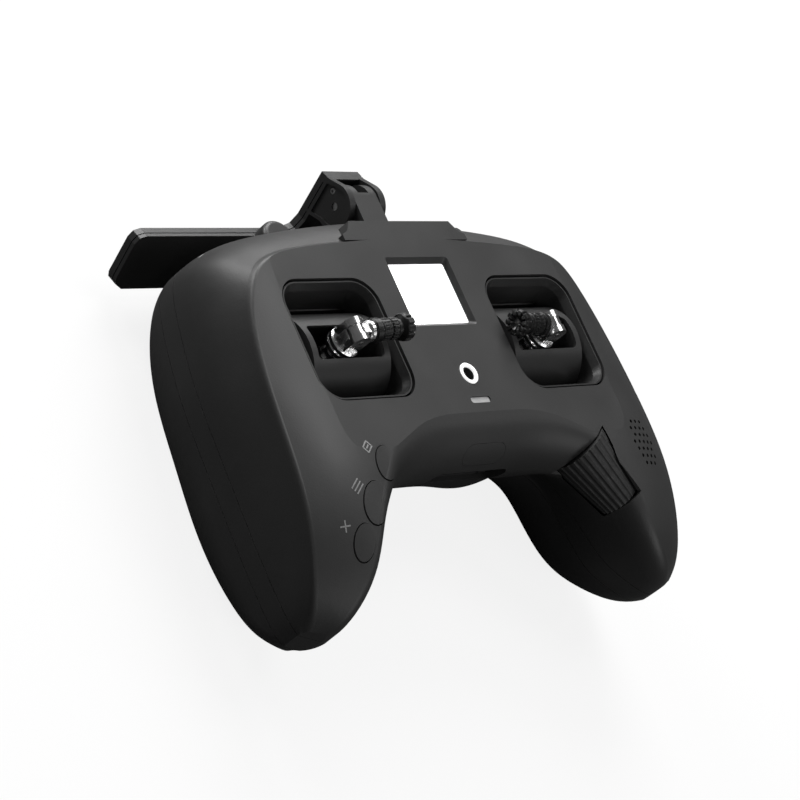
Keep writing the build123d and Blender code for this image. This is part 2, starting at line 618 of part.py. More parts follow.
def make_ports():
    z = SOCKET_Z
    tall = BAY_HEIGHT / 2 + 0.3
    plate = block((-17.4, 17.4), (-37.0, -35.6), (BAY_Z - tall, BAY_Z + tall))
    usb = Pos(-11.0, -33.0, z) * Rot(90, 0, 0) * extrude(SlotOverall(9.0, 3.3), amount=4.2, both=True)
    usb_hole = Pos(-11.0, -33.0, z) * Rot(90, 0, 0) * extrude(SlotOverall(8.2, 2.5), amount=4.4)
    card = block((-3.0, 8.0), (-37.2, -26.0), (z - 1.1, z + 1.1))
    card_slot = block((-2.3, 7.3), (-38.0, -27.0), (z - 0.4, z + 0.5))
    jack = rod((13.0, -37.2, z), (0, 1, 0), 2.9, 11.0)
    jack_hole = rod((13.0, -38.0, z), (0, 1, 0), 1.8, 10.0)
    plate -= [Pos(-11.0, -36, z) * Rot(90, 0, 0) * extrude(SlotOverall(9.2, 3.5), amount=4, both=True),
              block((-3.1, 8.1), (-38.0, -35.0), (z - 1.2, z + 1.2)),
              rod((13.0, -38.0, z), (0, 1, 0), 3.0, 12.0)]
    save("port_plate", plate & body(WALL + 0.3))
    save("usb_socket", usb - usb_hole)
    save("card_socket", card - card_slot)
    save("audio_jack", jack - jack_hole)


# ---------------------------------------------------------------- shoulder controls
def make_shoulder(side):
    """Three-way rocker lever and a push key behind it."""
    name = "left" if side < 0 else "right"
    x = side * ROCKER_X
    cap = rod((x, ROCKER_Y, ROCKER_Z - 3.2), (0, 0, 1), 6.4, 6.4)
    cap = fillet(cap.edges(), 1.6) & block((x - 7, x + 7), (ROCKER_Y - 1.8, 60), (0, DEPTH))
    stem = block((x - 2.4, x + 2.4), (ROCKER_PIVOT_Y, ROCKER_Y), (ROCKER_Z - 1.6, ROCKER_Z + 1.6))
    hub = rod((x - 4.0, ROCKER_PIVOT_Y, ROCKER_Z), (1, 0, 0), 2.2, 8.0)
    pin = rod((x - 6.4, ROCKER_PIVOT_Y, ROCKER_Z), (1, 0, 0), 1.0, 12.8)
    save(f"shoulder_rocker_{name}", cap + stem + hub + pin)
    tx = side * TRIGGER_X
    key = rod((tx, 36.0, TRIGGER_Z), (0, 1, 0), 4.1, 9.6)
    save(f"trigger_key_{name}", fillet(key.edges().group_by(Axis.Y)[-1], 1.0))


def rocker_housing(x):
    housing = block((x - 6.6, x + 6.6), (31.0, 42.6), (ROCKER_Z - 5.5, ROCKER_Z + 5.5))
    housing -= block((x - 4.3, x + 4.3), (35.5, 44.0), (ROCKER_Z - 4.3, ROCKER_Z + 4.3))
    return housing - rod((x - 8, ROCKER_PIVOT_Y, ROCKER_Z), (1, 0, 0), 1.0 + RUNNING, 16)


def make_shoulder_switches():
    save("shoulder_switches", Compound([rocker_housing(side * ROCKER_X) for side in (-1, 1)]))
    keys = [block((side * TRIGGER_X - 5, side * TRIGGER_X + 5), (28.0, 34.8), (TRIGGER_Z - 5, TRIGGER_Z + 5))
            for side in (-1, 1)]
    save("trigger_switches", Compound(keys))


# ---------------------------------------------------------------- aerial
def hinge_rod(x0, x1, radius):
    return rod((x0, HINGE_Y, HINGE_Z), (1, 0, 0), radius, x1 - x0)


def make_lug():
    """Two-cheeked lug that stands out of the body's top edge."""
    lug = hinge_rod(-LUG_HALF, LUG_HALF, LUG_R)
    lug += block((-LUG_HALF, LUG_HALF), (44.2, HINGE_Y), (HINGE_Z - LUG_R, HINGE_Z + LUG_R))
    lug -= block((-2.4, 2.4), (50.5, 70.0), (HINGE_Z - 10, HINGE_Z + 5.2))
    lug -= block((-2.4, 2.4), (HINGE_Y + 1.0, 70.0), (HINGE_Z - 10, HINGE_Z + 10))
    return lug - hinge_rod(-10, 10, PIN_R + RUNNING)


def board_plane():
    """Plane of the aerial board: x along the bar, y from the fork to the bar, z towards the front."""
    along = (BOARD_EDGE - FORK_TOP).normalized()
    return Plane(origin=FORK_TOP, x_dir=(1, 0, 0), z_dir=Vector(1, 0, 0).cross(along))


def board_outline(inset=0.0):
    """Outline of the T: a stem between the fork's cheeks and the long bar."""
    reach = (BOARD_EDGE - FORK_TOP).length
    far = reach + BOARD_WIDTH
    right = [
        (EAR_OUT - inset, -1.0),
        (EAR_OUT - inset, reach - 6.0),
        (EAR_OUT + 1.4 - inset, reach - 2.2 + inset),
        (EAR_OUT + 5.6 - inset, reach + inset),
        (BOARD_HALF - 3.4 - inset, reach + inset),
        (BOARD_HALF - 1.0 - inset, reach + 0.9 + inset),
        (BOARD_HALF - inset, reach + 3.2 + inset),
        (BOARD_HALF - inset, far - 4.0),
        (BOARD_HALF - 0.9 - inset, far - 2.0 - inset),
        (BOARD_HALF - 4.4, far - inset),
    ]
    left = [(-x, y) for x, y in reversed(right)]
    return make_face(Polyline(*right, *left, close=True))


def cheek_outline(inset=0.0):
    """Side view of the fork, from the hinge's round end to the tip over the board, as Y and Z."""
    plane = board_plane()
    out, along = plane.z_dir, plane.y_dir
    tip = FORK_TOP + out * BOARD_THICK
    heel = tip + along * 13.0
    low = FORK_TOP + along * 13.0
    return [
        (HINGE_Y + 4.3, HINGE_Z + 6.0 - inset),
        (tip.Y - 1.6 * inset, tip.Z - inset),
        (heel.Y - inset, heel.Z + inset),
        (low.Y, low.Z + inset),
        (HINGE_Y - 1.0, HINGE_Z - 7.2 + inset),
    ]


def make_arm():
    """Forked T-shaped aerial arm, folded over the back of the top edge."""
    plane = board_plane()
    sheet = plane * extrude(board_outline(), amount=BOARD_THICK)
    sheet -= plane * Pos(0, 0, BOARD_THICK / 2) * extrude(aerial_cavity(), amount=BOARD_THICK)
    seam = extrude(board_outline() - board_outline(BOARD_GROOVE), amount=BOARD_GROOVE)
    sheet -= plane * Pos(0, 0, 1.3) * seam
    cheek = side_plate(cheek_outline(), EAR_IN, EAR_OUT) + hinge_rod(EAR_IN, EAR_OUT, FORK_R)
    cheek -= side_plate(cheek_outline(1.3), EAR_OUT - 0.6, EAR_OUT + 1)
    cheek -= hinge_rod(EAR_OUT - 0.6, EAR_OUT + 1, FORK_R - 1.3)
    clear = hinge_rod(-EAR_IN, EAR_IN, 8.5)
    arm = (sheet - clear) + cheek + mirror(cheek, Plane.YZ)
    for side in (-1, 1):
        arm -= rod((side * 6.9, HINGE_Y + 4.6, HINGE_Z + 1.8), (side, 0, 0), 1.1, 3.0)
    return arm - hinge_rod(-12, 12, PIN_R)


def aerial_cavity():
    """Outline of the pocket for the radiating strip in the bar."""
    reach = (BOARD_EDGE - FORK_TOP).length
    return Pos(0, reach + BOARD_WIDTH / 2) * RectangleRounded(2 * BOARD_HALF - 16, BOARD_WIDTH - 7, 2.0)


def make_aerial():
    plane = board_plane()
    save("aerial_lug", make_lug())
    save("aerial_arm", make_arm())
    strip = Pos(0, (BOARD_EDGE - FORK_TOP).length + BOARD_WIDTH / 2) * Rectangle(2 * BOARD_HALF - 20, 6)
    save("aerial_strip", plane * Pos(0, 0, BOARD_THICK / 2 + 0.1) * extrude(strip, amount=0.8))
    reach = (BOARD_EDGE - FORK_TOP).length
    lid = Pos(0, reach + BOARD_WIDTH / 2) * RectangleRounded(2 * BOARD_HALF - 16.3, BOARD_WIDTH - 7.3, 1.9)
    save("aerial_back_cover", plane * Pos(0, 0, BOARD_THICK / 2 + 1.0) * extrude(lid, amount=BOARD_THICK / 2 - 0.9))
    save("aerial_hinge_pin", hinge_rod(-EAR_OUT + 1.0, EAR_OUT - 1.0, PIN_R))


# ---------------------------------------------------------------- build
def main():
    os.makedirs("parts", exist_ok=True)
    make_casing()
    make_gimbals()
    make_display()
    make_power()
    make_boards()
    make_roller()
    make_inside()
    make_ports()
    for side in (-1, 1):
        make_shoulder(side)
    make_shoulder_switches()
    make_aerial()


main()
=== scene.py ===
import math

import bpy
from mathutils import Matrix, Vector
from mathutils.bvhtree import BVHTree

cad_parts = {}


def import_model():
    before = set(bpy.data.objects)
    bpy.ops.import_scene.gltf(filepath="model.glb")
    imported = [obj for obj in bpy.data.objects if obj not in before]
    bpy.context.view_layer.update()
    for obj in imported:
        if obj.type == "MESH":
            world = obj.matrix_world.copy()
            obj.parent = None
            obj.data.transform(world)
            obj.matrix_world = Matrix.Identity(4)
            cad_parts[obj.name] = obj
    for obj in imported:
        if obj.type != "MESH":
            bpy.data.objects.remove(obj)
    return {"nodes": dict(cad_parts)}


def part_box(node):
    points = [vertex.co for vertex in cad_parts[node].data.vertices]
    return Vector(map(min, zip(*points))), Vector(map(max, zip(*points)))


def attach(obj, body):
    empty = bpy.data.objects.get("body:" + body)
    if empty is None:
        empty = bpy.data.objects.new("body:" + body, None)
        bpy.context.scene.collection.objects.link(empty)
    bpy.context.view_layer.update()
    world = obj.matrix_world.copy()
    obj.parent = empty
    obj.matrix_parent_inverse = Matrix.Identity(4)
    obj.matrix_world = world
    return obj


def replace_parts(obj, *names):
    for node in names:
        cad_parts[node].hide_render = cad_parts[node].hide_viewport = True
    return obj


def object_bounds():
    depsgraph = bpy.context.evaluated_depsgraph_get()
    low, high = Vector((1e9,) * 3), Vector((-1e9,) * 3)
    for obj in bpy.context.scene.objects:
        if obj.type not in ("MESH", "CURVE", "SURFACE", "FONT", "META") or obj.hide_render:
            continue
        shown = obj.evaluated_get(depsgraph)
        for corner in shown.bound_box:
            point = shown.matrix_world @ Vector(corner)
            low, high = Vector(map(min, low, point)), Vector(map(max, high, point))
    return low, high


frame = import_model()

# Radio transmitter in a gamepad body. Metres, in the row frame:
# +X right, +Y to the aerial, +Z out of the face.

nodes = frame["nodes"]
cad_low, cad_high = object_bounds()
MM = 0.001
SIDES = ("left", "right")
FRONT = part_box("front_shell")[1].z  # highest point of the front shell


# ---------------------------------------------------------------- shader helpers
class Look:
    """A node material: one Principled shader and the textures that feed it."""

    def __init__(self, name, colour, rough, metallic=0.0):
        self.material = bpy.data.materials.new(name)
        self.material.use_nodes = True
        self.tree = self.material.node_tree
        self.shader = self.tree.nodes["Principled BSDF"]
        self.put("Base Color", (*colour, 1.0))
        self.put("Roughness", rough)
        self.put("Metallic", metallic)
        self.place = self.add("ShaderNodeTexCoord").outputs["Object"]

    def add(self, kind, **settings):
        node = self.tree.nodes.new(kind)
        for key, value in settings.items():
            setattr(node, key, value)
        return node

    def feed(self, socket, value):
        if isinstance(value, bpy.types.NodeSocket):
            self.tree.links.new(value, socket)
        else:
            socket.default_value = value

    def put(self, name, value):
        self.feed(self.shader.inputs[name], value)

    def noise(self, scale, detail, stretch=(1, 1, 1)):
        """Noise from 0 to 1; scale is in features per metre."""
        mapping = self.add("ShaderNodeMapping")
        self.feed(mapping.inputs["Vector"], self.place)
        mapping.inputs["Scale"].default_value = stretch
        node = self.add("ShaderNodeTexNoise")
        self.feed(node.inputs["Vector"], mapping.outputs["Vector"])
        node.inputs["Scale"].default_value = scale
        node.inputs["Detail"].default_value = detail
        return node.outputs["Fac"]

    def cells(self, scale, feature="F1"):
        node = self.add("ShaderNodeTexVoronoi", feature=feature)
        self.feed(node.inputs["Vector"], self.place)
        node.inputs["Scale"].default_value = scale
        return node.outputs["Distance"]

    def span(self, value, low, high, to_low=0.0, to_high=1.0):
        """Maps low..high onto to_low..to_high, clamped."""
        node = self.add("ShaderNodeMapRange")
        self.feed(node.inputs["Value"], value)
        for name, number in (("From Min", low), ("From Max", high), ("To Min", to_low), ("To Max", to_high)):
            self.feed(node.inputs[name], number)
        return node.outputs["Result"]

    def maths(self, operation, a, b):
        node = self.add("ShaderNodeMath", operation=operation)
        self.feed(node.inputs[0], a)
        self.feed(node.inputs[1], b)
        return node.outputs[0]

    def mix(self, factor, a, b):
        node = self.add("ShaderNodeMix", data_type="RGBA")
        self.feed(node.inputs["Factor"], factor)
        colours = [s for s in node.inputs if s.type == "RGBA"]
        self.feed(colours[0], a if isinstance(a, bpy.types.NodeSocket) else (*a, 1.0))
        self.feed(colours[1], b if isinstance(b, bpy.types.NodeSocket) else (*b, 1.0))
        return [s for s in node.outputs if s.type == "RGBA"][0]

    def bump(self, height, distance, strength):
        """Adds a bump on top of the ones put in before; distance is in metres."""
        node = self.add("ShaderNodeBump")
        self.feed(node.inputs["Height"], height)
        node.inputs["Distance"].default_value = distance
        node.inputs["Strength"].default_value = strength
        if self.shader.inputs["Normal"].links:
            self.feed(node.inputs["Normal"], self.shader.inputs["Normal"].links[0].from_socket)
        self.put("Normal", node.outputs["Normal"])

    def edges(self, radius, low=0.01, high=0.12):
        """1 along sharp edges, 0 on flats."""
        bevel = self.add("ShaderNodeBevel", samples=4)
        bevel.inputs["Radius"].default_value = radius
        geometry = self.add("ShaderNodeNewGeometry")
        dot = self.add("ShaderNodeVectorMath", operation="DOT_PRODUCT")
        self.feed(dot.inputs[0], bevel.outputs["Normal"])
        self.feed(dot.inputs[1], geometry.outputs["Normal"])
        return self.span(self.maths("SUBTRACT", 1.0, dot.outputs["Value"]), low, high)


def grey(value):
    return (value, value, value)


# ---------------------------------------------------------------- materials
def soft_touch(name, tone, rough, grain=0.00003):
    """Black moulded plastic with a rubbery coat: fine grain, sharp edges painted lighter in patches as
    highlight and wear, uneven sheen.
    """
    look = Look(name, grey(tone), rough)
    smudge = look.noise(45, 4)
    fleck = look.noise(2600, 2)
    edge_mask = look.edges(0.35 * MM)
    worn_and_highlit = look.maths("MULTIPLY", edge_mask, look.span(look.noise(420, 4), 0.35, 0.65))
    base = look.mix(look.span(smudge, 0.3, 0.7), grey(tone * 0.92), grey(tone * 1.08))
    base = look.mix(look.maths("MULTIPLY", fleck, 0.35), base, grey(tone * 1.5))
    # Painted highlight: patchy lightening along sharp edges, partly wear and partly a painted highlight.
    look.put("Base Color", look.mix(look.maths("MULTIPLY", worn_and_highlit, 0.5), base, grey(tone * 2.6)))
    look.put("Roughness", look.span(smudge, 0.3, 0.7, rough - 0.04, rough + 0.05))
    look.put("Specular IOR Level", 0.42)
    look.bump(look.noise(2600, 3), grain, 0.6)
    look.bump(look.cells(1500), grain * 0.6, 0.4)
    return look.material


def ribbed_rubber():
    """Dull rubber tread with patches of dust."""
    look = Look("roller_tread", grey(0.018), 0.62)
    dust = look.span(look.noise(900, 4), 0.45, 0.75)
    look.put("Base Color", look.mix(look.maths("MULTIPLY", dust, 0.3), grey(0.018), grey(0.05)))
    look.put("Roughness", look.span(look.noise(300, 3), 0.3, 0.7, 0.5, 0.7))
    look.bump(look.noise(3200, 3), 0.00003, 0.7)
    return look.material


def polished(name, tone, rough):
    """Bright plated metal with hairline scratches and a few duller spots."""
    look = Look(name, grey(tone), rough, 1.0)
    hair = look.noise(1800, 2, (1, 12, 12))
    spots = look.span(look.noise(260, 4), 0.42, 0.7)
    look.put("Base Color", look.mix(look.maths("MULTIPLY", spots, 0.5), grey(tone), grey(tone * 0.6)))
    look.put("Roughness", look.span(hair, 0.3, 0.75, rough, rough + 0.12))
    look.bump(hair, 0.000004, 0.5)
    return look.material


def anodised():
    """Black anodised aluminium whose machined edges have rubbed bright."""
    look = Look("black_anodised", grey(0.012), 0.3, 0.55)
    edge_mask = look.edges(0.16 * MM, 0.02, 0.16)
    patchy = look.maths("MULTIPLY", edge_mask, look.span(look.noise(900, 3), 0.3, 0.6))
    look.put("Base Color", look.mix(patchy, grey(0.014), grey(0.34)))
    look.put("Roughness", look.span(look.noise(1500, 3), 0.3, 0.7, 0.24, 0.4))
    look.put("Metallic", look.span(patchy, 0.0, 1.0, 0.45, 1.0))
    look.bump(look.noise(4200, 2, (1, 6, 6)), 0.000006, 0.6)
    return look.material


def brushed_steel():
    look = Look("screw_steel", grey(0.42), 0.32, 1.0)
    look.put("Roughness", look.span(look.noise(2200, 3, (1, 1, 9)), 0.3, 0.7, 0.24, 0.45))
    look.bump(look.noise(2600, 2, (1, 1, 9)), 0.000005, 0.6)
    return look.material


def lit_display():
    """Blank backlit panel, faintly uneven. It is dimmed for diffuse rays, so it hardly lights
    its surroundings."""
    look = Look("display_glow", grey(0.9), 0.4)
    grid = look.span(look.noise(5200, 1), 0.2, 0.8, 0.97, 1.0)
    look.put("Base Color", look.mix(grid, grey(0.86), grey(0.92)))
    look.put("Emission Color", (1.0, 1.0, 1.0, 1.0))
    path = look.add("ShaderNodeLightPath")
    seen = look.span(path.outputs["Is Diffuse Ray"], 0.0, 1.0, 1.3, 0.1)
    look.put("Emission Strength", look.maths("MULTIPLY", grid, seen))
    look.material.cycles.emission_sampling = "NONE"
    return look.material


def painted_glow_ring():
    """Milky ring round the power key, with an even painted glow that stands in for light reflected off the
    ring.
    """
    look = Look("ring_painted_glow", grey(0.8), 0.35)
    look.put("Base Color", look.mix(look.noise(900, 3), grey(0.7), grey(0.85)))
    look.put("Emission Color", (1.0, 1.0, 1.0, 1.0))
    # Painted glow: emission standing in for reflected light; the ring is no lamp.
    look.put("Emission Strength", look.span(look.noise(500, 2), 0.3, 0.7, 0.55, 0.7))
    look.bump(look.noise(2600, 2), 0.00001, 0.5)
    return look.material


def clear_window():
    look = Look("display_glass", grey(1.0), 0.03)
    look.put("Transmission Weight", 1.0)
    look.put("IOR", 1.2)
    look.put("Roughness", look.span(look.noise(500, 4), 0.35, 0.8, 0.01, 0.05))
    return look.material


def light_pipe():
    """Milky bar over the status lamp."""
    look = Look("milky_pipe", grey(0.42), 0.35)
    look.put("Base Color", look.mix(look.noise(1200, 3), grey(0.36), grey(0.48)))
    look.put("Subsurface Weight", 0.2)
    look.put("Subsurface Radius", (0.0004, 0.0004, 0.0004))
    look.bump(look.noise(2600, 3), 0.00002, 0.5)
    return look.material


def circuit_board():
    """Green solder mask over copper areas parted by narrow gaps."""
    look = Look("solder_mask", (0.01, 0.06, 0.02), 0.35)
    tracks = look.span(look.cells(420, "DISTANCE_TO_EDGE"), 0.04, 0.07)
    look.put("Base Color", look.mix(tracks, (0.02, 0.11, 0.04), (0.008, 0.05, 0.018)))
    look.bump(tracks, 0.00003, 0.6)
    return look.material


def copper():
    look = Look("copper_foil", (0.72, 0.32, 0.16), 0.35, 1.0)
    look.put("Base Color", look.mix(look.noise(350, 4), (0.62, 0.26, 0.12), (0.8, 0.4, 0.22)))
    look.put("Roughness", look.span(look.noise(1800, 3), 0.3, 0.7, 0.28, 0.45))
    return look.material


def tinned():
    look = Look("tinned_can", grey(0.55), 0.35, 1.0)
    look.put("Roughness", look.span(look.noise(700, 4), 0.3, 0.7, 0.28, 0.5))
    look.bump(look.noise(120, 2), 0.00006, 0.5)
    return look.material


def battery_wrap():
    """Shrunk film with soft wrinkles."""
    look = Look("battery_film", (0.02, 0.05, 0.11), 0.25)
    wrinkle = look.noise(140, 4, (1, 5, 5))
    look.put("Base Color", look.mix(wrinkle, (0.012, 0.035, 0.08), (0.03, 0.07, 0.15)))
    look.bump(wrinkle, 0.0004, 0.5)
    return look.material


def printed_white():
    """Pale pad-printed ink of uneven tone."""
    look = Look("printed_ink", grey(0.24), 0.6)
    look.put("Base Color", look.mix(look.span(look.noise(3000, 3), 0.35, 0.6), grey(0.16), grey(0.3)))
    look.bump(look.noise(4200, 2), 0.00001, 0.5)
    return look.material


def paint(material, *names):
    for name in names:
        mesh = nodes[name].data
        mesh.materials.clear()
        mesh.materials.append(material)


def both(*names):
    return [f"{name}_{side}" for name in names for side in SIDES]


def paint_all():
    casing = soft_touch("soft_touch_casing", 0.026, 0.46)
    trim = soft_touch("satin_trim", 0.02, 0.4, 0.00002)
    keys = soft_touch("satin_keys", 0.024, 0.44, 0.00002)
    dark = soft_touch("inner_black", 0.012, 0.5)
    aerial = soft_touch("aerial_plastic", 0.02, 0.42)
    chrome = polished("chrome_plate", 0.86, 0.16)
    black = anodised()
    steel = brushed_steel()
    paint(casing, "front_shell", "mid_band", "rear_shell", "aux_cover", "aerial_lug")
    paint(trim, *both("gimbal_bezel", "gimbal_drum"))
    paint(keys, "button_page", "button_menu", "button_exit", *both("shoulder_rocker", "trigger_key"))
    paint(polished("gloss_centre", 0.03, 0.16), "power_button")
    paint(dark, "port_plate", "roller_bracket", "audio_jack", "speaker", "shoulder_switches",
          "trigger_switches", "tact_switches", *both("gimbal_frame"))
    paint(aerial, "aerial_arm", "aerial_back_cover")
    paint(chrome, *both("stick_knuckle", "stick_post"))
    paint(painted_glow_ring(), "power_ring")
    paint(black, *both("lock_collar", "stick_tube", "stick_tip", "stick_block"))
    paint(steel, "case_screws", "gimbal_screws", "aerial_hinge_pin", "roller_axle", "card_socket",
          "usb_socket", *both("fold_pin"))
    paint(ribbed_rubber(), "roller_wheel")
    paint(lit_display(), "display_panel")
    paint(clear_window(), "display_window")
    paint(light_pipe(), "status_light")
    paint(circuit_board(), "main_board", "key_board", "gimbal_sensors")
    paint(copper(), "aerial_strip")
    paint(tinned(), "radio_module")
    paint(battery_wrap(), "battery_pack")
    return black, steel


# ---------------------------------------------------------------- turned stick parts
SEGMENTS = 160
STICK_TILT = math.radians(7)  # the folded sticks point up from the face
LEAST_R = 0.05 * MM  # keeps a turned piece from closing on its axis
ROW_PITCH = 0.13 * MM  # longest step between rings of points


def turned(name, side, start, profile, relief, material):
    """Lathe-turned stick piece that begins start metres from the fold pin. profile lists (along, radius);
    relief(along, radius, angle) gives how far the skin sinks (along, inwards) there."""
    low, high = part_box(f"fold_pin_{side}")
    heading = 1 if side == "left" else -1
    ahead = Vector((heading * math.cos(STICK_TILT), 0, math.sin(STICK_TILT)))
    across = Vector((0, 1, 0))
    up = ahead.cross(across)
    foot = (low + high) / 2 + ahead * start
    verts, faces = [], []
    for along, radius in profile:
        for k in range(SEGMENTS):
            angle = 2 * math.pi * k / SEGMENTS
            sink_along, sink_in = relief(along, radius, angle)
            r = max(radius - sink_in, LEAST_R)
            spoke = across * math.cos(angle) + up * math.sin(angle)
            verts.append(foot + ahead * (along - sink_along) + spoke * r)
    for ring in range(len(profile) - 1):
        for k in range(SEGMENTS):
            a, b = ring * SEGMENTS + k, ring * SEGMENTS + (k + 1) % SEGMENTS
            faces.append((b, b + SEGMENTS, a + SEGMENTS, a))
    faces.append(tuple(range(SEGMENTS))[::-1])
    faces.append(tuple((len(profile) - 1) * SEGMENTS + k for k in range(SEGMENTS)))
    mesh = bpy.data.meshes.new(name)
    mesh.from_pydata(verts, [], faces)
    mesh.materials.append(material)
    obj = bpy.data.objects.new(name, mesh)
    bpy.context.scene.collection.objects.link(obj)
    for polygon in mesh.polygons:
        polygon.use_smooth = len(polygon.vertices) == 4
    return obj


def step(value, low, high):
    """Smooth 0 to 1 between low and high."""
    t = min(1.0, max(0.0, (value - low) / (high - low)))
    return t * t * (3 - 2 * t)


def rows(profile, pitch):
    """Adds points so that no two neighbours are further apart than pitch."""
    out = [profile[0]]
    for (x0, r0), (x1, r1) in zip(profile, profile[1:]):
        count = max(1, math.ceil(math.hypot(x1 - x0, r1 - r0) / pitch))
        out += [(x0 + (x1 - x0) * k / count, r0 + (r1 - r0) * k / count) for k in range(1, count + 1)]
    return out


STUD_R = 1.6 * MM
TUBE_START = 8.3 * MM  # from the fold pin, along the stick
TUBE_LENGTH = 6.5 * MM
TUBE_R = 3.45 * MM
TUBE_SPLINES = 18
TUBE_SLOT_DEPTH = 0.42 * MM
TIP_START = 14.9 * MM
TIP_LENGTH = 5.6 * MM
TIP_R = 4.3 * MM
TIP_TEETH = 10
TOOTH_HEIGHT = 1.15 * MM  # of the crown's teeth, along the stick
DISH_DEPTH = 0.9 * MM
TIP_SLOT_DEPTH = 0.75 * MM  # of the slots between the teeth, inwards


def stick_tube(side, material):
    """Splined grip tube: two rows of blocks parted by a ring groove."""
    edge = 0.35 * MM
    ring = 0.6 * TUBE_LENGTH

    def relief(along, r, angle):
        wave = abs(math.sin(TUBE_SPLINES * angle / 2))
        slot = 1 - step(wave, 0.16, 0.42)
        begin = step(along, 0.8 * MM, 1.1 * MM)
        end = step(along, TUBE_LENGTH - 0.5 * MM, TUBE_LENGTH - 0.3 * MM)
        band = begin * (1 - end)
        groove = 1 - step(abs(along - ring), 0.22 * MM, 0.42 * MM)
        return 0.0, TUBE_SLOT_DEPTH * max(slot * band, 1.3 * groove)

    profile = rows([(0.0, STUD_R), (0.0, TUBE_R - edge), (edge, TUBE_R), (TUBE_LENGTH - edge, TUBE_R),
                    (TUBE_LENGTH, TUBE_R - edge), (TUBE_LENGTH, STUD_R)], ROW_PITCH)
    tube = turned(f"splined_tube_{side}", side, TUBE_START, profile, relief, material)
    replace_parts(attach(tube, f"stick_{side}"), f"stick_tube_{side}")


def stick_tip(side, material):
    """Crown of teeth round a dished middle, on a necked flare."""
    crown = TIP_LENGTH - 2.6 * MM
    neck = 0.62 * TIP_R

    def relief(along, r, angle):
        wave = abs(math.sin(TIP_TEETH * angle / 2))
        slot = 1 - step(wave, 0.3, 0.55)
        rim = step(along, crown - 0.3 * MM, crown + 0.2 * MM)
        face = step(along, TIP_LENGTH - 0.25 * MM, TIP_LENGTH - 0.05 * MM) * step(r, 0.9 * MM, 1.5 * MM)
        dish = (1 - step(r, 0.25 * TIP_R, 0.62 * TIP_R)) * step(along, TIP_LENGTH - 0.1 * MM, TIP_LENGTH)
        deep = TOOTH_HEIGHT * slot * face + DISH_DEPTH * dish
        return deep, TIP_SLOT_DEPTH * slot * rim * step(r, 0.6 * TIP_R, 0.85 * TIP_R)

    profile = rows([(0.0, STUD_R), (0.0, neck + 0.5 * MM), (0.7 * MM, neck + 0.5 * MM),
                    (1.0 * MM, neck), (1.6 * MM, neck), (crown - 0.5 * MM, TIP_R - 0.3 * MM),
                    (crown, TIP_R), (TIP_LENGTH - 0.5 * MM, TIP_R), (TIP_LENGTH, TIP_R - 0.45 * MM),
                    (TIP_LENGTH, 0.2 * MM)], ROW_PITCH)
    tip = turned(f"crown_tip_{side}", side, TIP_START, profile, relief, material)
    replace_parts(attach(tip, f"stick_{side}"), f"stick_tip_{side}")


# ---------------------------------------------------------------- fork screws
SCREW_SIDES = 24
SCREW_PLACE = (7.3 * MM, 4.6 * MM, 1.8 * MM)  # from the hinge's middle
SCREW_RINGS = (  # distance out, radius, both in millimetres, and whether the ring is a hexagon
    (-0.4, 1.05, False),
    (0.05, 1.05, False),
    (0.2, 0.9, False),
    (0.2, 0.5, True),
    (-0.3, 0.46, True),
)


def cheek_screws(material):
    """Low round heads with a hexagon socket, one in each cheek of the aerial's fork."""
    low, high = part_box("aerial_hinge_pin")
    hinge = (low + high) / 2
    for side, heading in (("left", -1), ("right", 1)):
        centre = hinge + Vector((heading * SCREW_PLACE[0], SCREW_PLACE[1], SCREW_PLACE[2]))
        verts, faces = [], []
        for out, radius, hexagon in SCREW_RINGS:
            for k in range(SCREW_SIDES):
                angle = 2 * math.pi * k / SCREW_SIDES
                flat = math.cos(angle % (math.pi / 3) - math.pi / 6) if hexagon else 1.0
                r = radius * MM / flat
                spoke = Vector((0, heading * r * math.cos(angle), r * math.sin(angle)))
                verts.append(centre + Vector((heading * out * MM, 0, 0)) + spoke)
        for ring in range(len(SCREW_RINGS) - 1):
            for k in range(SCREW_SIDES):
                a, b = ring * SCREW_SIDES + k, ring * SCREW_SIDES + (k + 1) % SCREW_SIDES
                faces.append((a, b, b + SCREW_SIDES, a + SCREW_SIDES))
        last = (len(SCREW_RINGS) - 1) * SCREW_SIDES
        faces.append(tuple(range(SCREW_SIDES))[::-1])
        faces.append(tuple(last + k for k in range(SCREW_SIDES)))
        mesh = bpy.data.meshes.new(f"cheek_screw_{side}")
        mesh.from_pydata(verts, [], faces)
        mesh.materials.append(material)
        obj = bpy.data.objects.new(f"cheek_screw_{side}", mesh)
        bpy.context.scene.collection.objects.link(obj)
        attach(obj, "aerial")


# ---------------------------------------------------------------- printed marks
INK = 0.04 * MM  # the ink stands this far out of the casing, and as far into it
INK_STEP = 0.25 * MM
ICON_LINE = 0.42 * MM
ICON_OFFSET = Vector((-5.6, 5.4, 0)) * MM  # from the middle of its key
ICON_TURN = math.radians(42)
DROP = 5 * MM  # rays to the casing start this far above it
DASH_PLACE = Vector((-69.1, 40.9, 38.1)) * MM  # on the left shoulder
DASH_FACING = Vector((-0.48, 0.86, 0.19))


